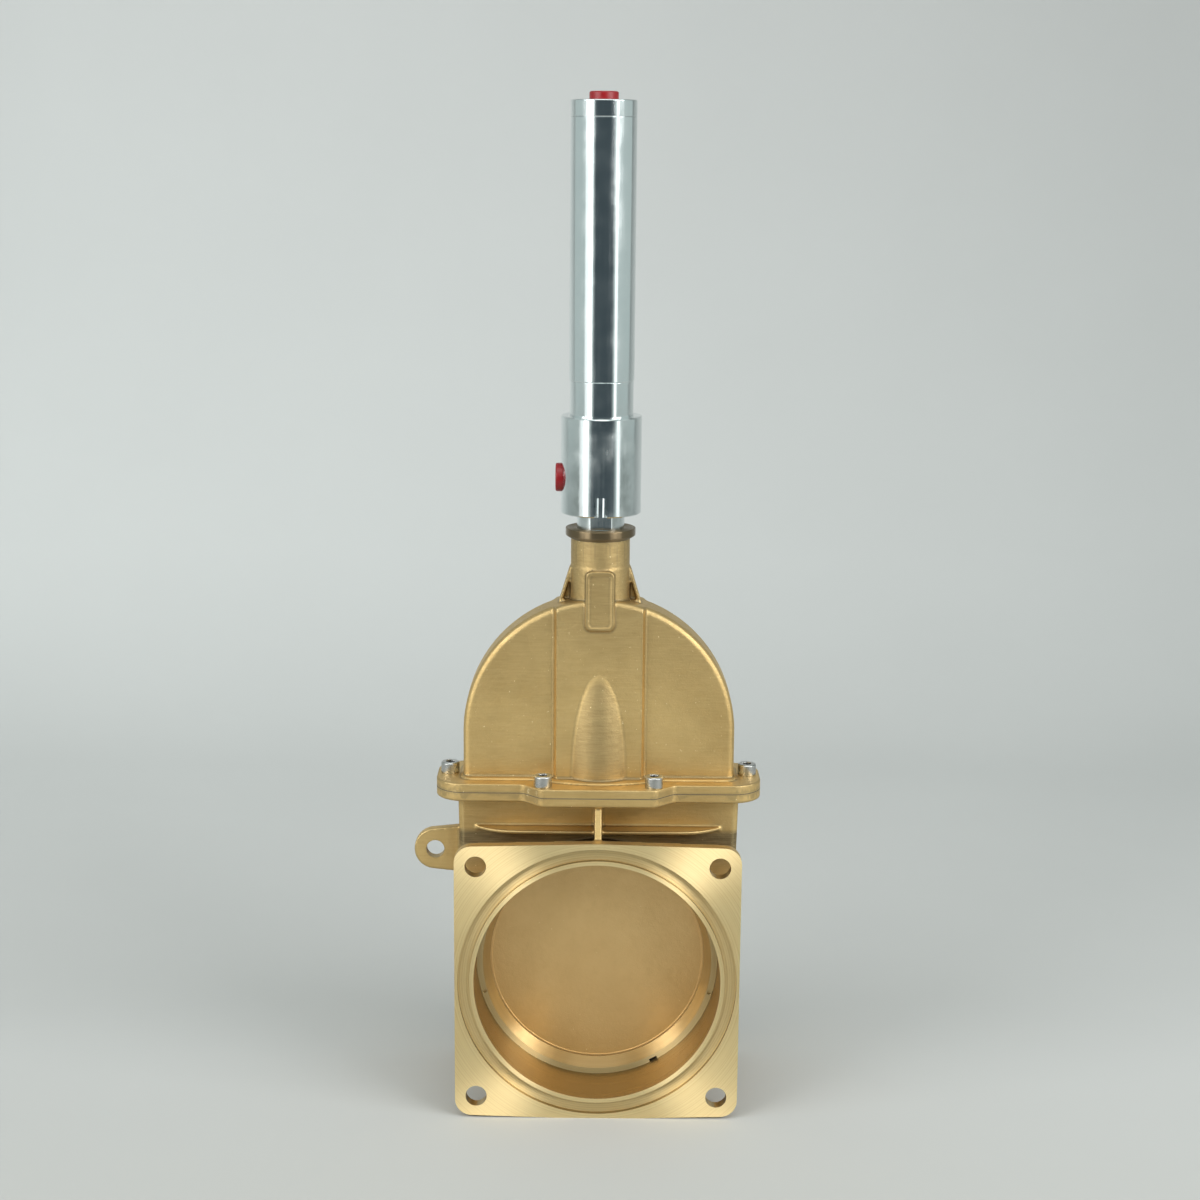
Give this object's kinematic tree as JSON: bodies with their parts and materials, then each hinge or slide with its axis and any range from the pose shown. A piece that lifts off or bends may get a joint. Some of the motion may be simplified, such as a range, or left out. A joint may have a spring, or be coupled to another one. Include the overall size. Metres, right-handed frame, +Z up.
{
  "type": "hydraulic slide gate valve",
  "caption": "Flanged slide gate valve with a domed bonnet; a hydraulic cylinder on the neck lifts a round gate out of the bore on a slotted coupling.",
  "frame": {"origin": "centre of the bore on the face of the front flange", "axes": "+Z up along the rod and the cylinder, -Y out of the front flange along the flow, -X to the side with the lug and the side port"},
  "size_m": [0.2469, 0.12, 0.7126],
  "materials": {
    "cast_brass": "sand cast and blasted, matte",
    "machined_brass": "turned",
    "bronze": "sintered",
    "turned_steel": "fine turned",
    "plated_rod": "hard chromed and ground",
    "stainless_steel": "bright stainless",
    "black_rubber": "moulded, matte",
    "soft_seat": "turned fluoroplastic",
    "gasket_sheet": "pressed fibre sheet",
    "guide_plastic": "moulded",
    "red_plastic": "moulded, satin"
  },
  "bodies": {
    "valve": {"valve_body": "cast_brass", "bonnet": "cast_brass", "front_seat_ring": "machined_brass", "rear_seat_ring": "machined_brass", "lock_ring": "machined_brass", "neck_bush": "machined_brass", "rod_guide_bush": "bronze", "cylinder_head": "turned_steel", "cylinder_tube": "turned_steel", "end_cap": "turned_steel", "bonnet_screws": "stainless_steel", "front_seat_oring": "black_rubber", "rear_seat_oring": "black_rubber", "neck_oring": "black_rubber", "neck_seal": "black_rubber", "head_oring": "black_rubber", "rod_wiper": "black_rubber", "rod_seal": "black_rubber", "cap_oring": "black_rubber", "front_seat_seal": "soft_seat", "rear_seat_seal": "soft_seat", "bonnet_gasket": "gasket_sheet"},
    "gate_and_rod": {"gate": "cast_brass", "gate_coupling": "stainless_steel", "piston_rod": "plated_rod", "piston": "turned_steel", "piston_nut": "stainless_steel", "piston_seals": "black_rubber", "piston_guide_ring": "guide_plastic", "piston_oring": "black_rubber"},
    "top_plug": {"top_port_plug": "red_plastic"},
    "side_plug": {"side_port_plug": "red_plastic"}
  },
  "joints": [
    {"name": "gate_slide", "type": "slide", "parent": "valve", "child": "gate_and_rod", "axis": [0, 0, 1], "range_m": [0, 0.168]},
    {"name": "top_plug_pull", "type": "slide", "parent": "valve", "child": "top_plug", "axis": [0, 0, 1], "range_m": [0, 0.02]},
    {"name": "side_plug_pull", "type": "slide", "parent": "valve", "child": "side_plug", "axis": [-1, 0, 0], "range_m": [0, 0.02]}
  ]
}
